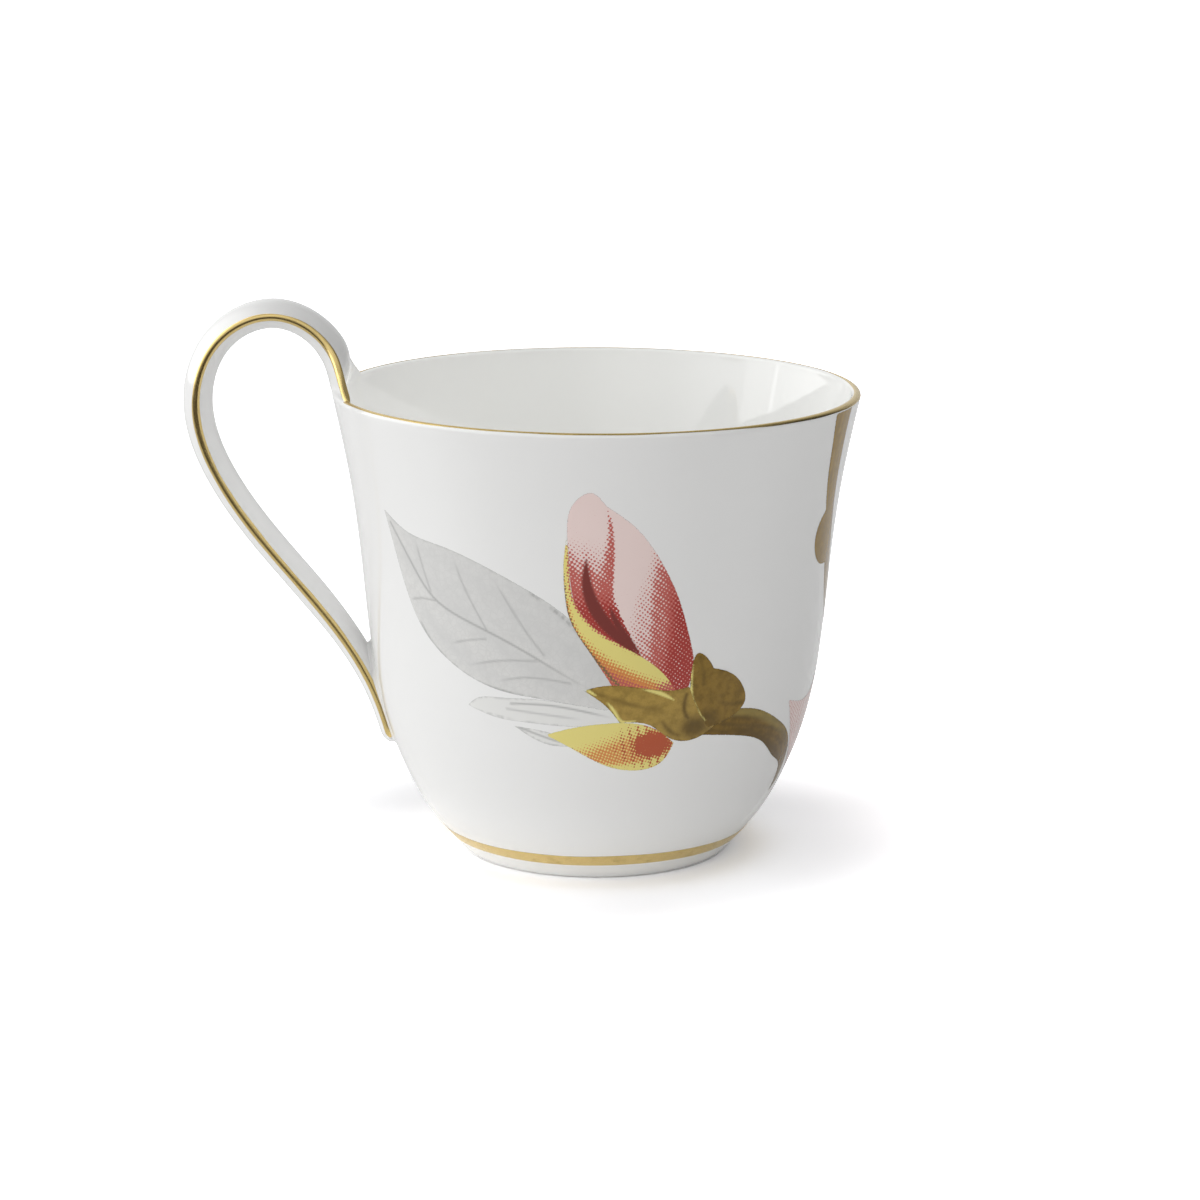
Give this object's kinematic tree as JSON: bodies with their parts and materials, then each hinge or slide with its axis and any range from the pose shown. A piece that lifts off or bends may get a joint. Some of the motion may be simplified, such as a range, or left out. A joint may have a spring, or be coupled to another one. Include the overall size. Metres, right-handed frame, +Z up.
{
  "type": "teacup",
  "caption": "Footed bell-shaped teacup in white bone china with a tall loop strap handle above the lip, gold lines, and a printed blossom.",
  "frame": {"origin": "centre of the plane the foot ring rests on, on the bowl's axis", "axes": "+Z up, the handle points to -X, and the flower bud faces -Y"},
  "size_m": [0.1181, 0.0922, 0.0974],
  "materials": {
    "cup_body": "glossy clear glaze on white bone china",
    "handle": "glossy clear glaze on white bone china",
    "upper_joint_slip": "glossy clear glaze on white bone china",
    "lower_joint_slip": "glossy clear glaze on white bone china",
    "handle_gold_near": "burnished gold, hand brushed",
    "handle_gold_far": "burnished gold, hand brushed",
    "rim_gold_line": "burnished gold, hand brushed",
    "foot_gold_band": "burnished gold, hand brushed",
    "calyx": "olive-brown transfer under a clear glaze",
    "bract": "olive-brown transfer",
    "bud_sepal": "yellow transfer with orange stipple",
    "bud_petals": "pink transfer with red stipple",
    "small_bud": "yellow transfer with orange and red stipple",
    "bloom_front_petal": "pale pink transfer",
    "twig": "brown transfer",
    "large_leaf": "pale grey transfer with pencil-grey veins",
    "small_leaf": "pale grey transfer",
    "lower_leaf": "pale grey transfer",
    "bloom_heart": "yellow transfer with brown stamens",
    "bloom_petals": "pale pink transfer",
    "branch": "brown transfer",
    "back_leaf": "pale grey transfer"
  },
  "bodies": {
    "root": {"cup_body": "cup_body", "handle": "handle", "upper_joint_slip": "upper_joint_slip", "lower_joint_slip": "lower_joint_slip", "handle_gold_near": "handle_gold_near", "handle_gold_far": "handle_gold_far", "rim_gold_line": "rim_gold_line", "foot_gold_band": "foot_gold_band", "calyx": "calyx", "bract": "bract", "bud_sepal": "bud_sepal", "bud_petals": "bud_petals", "small_bud": "small_bud", "bloom_front_petal": "bloom_front_petal", "twig": "twig", "large_leaf": "large_leaf", "small_leaf": "small_leaf", "lower_leaf": "lower_leaf", "bloom_heart": "bloom_heart", "bloom_petals": "bloom_petals", "branch": "branch", "back_leaf": "back_leaf"}
  },
  "joints": []
}
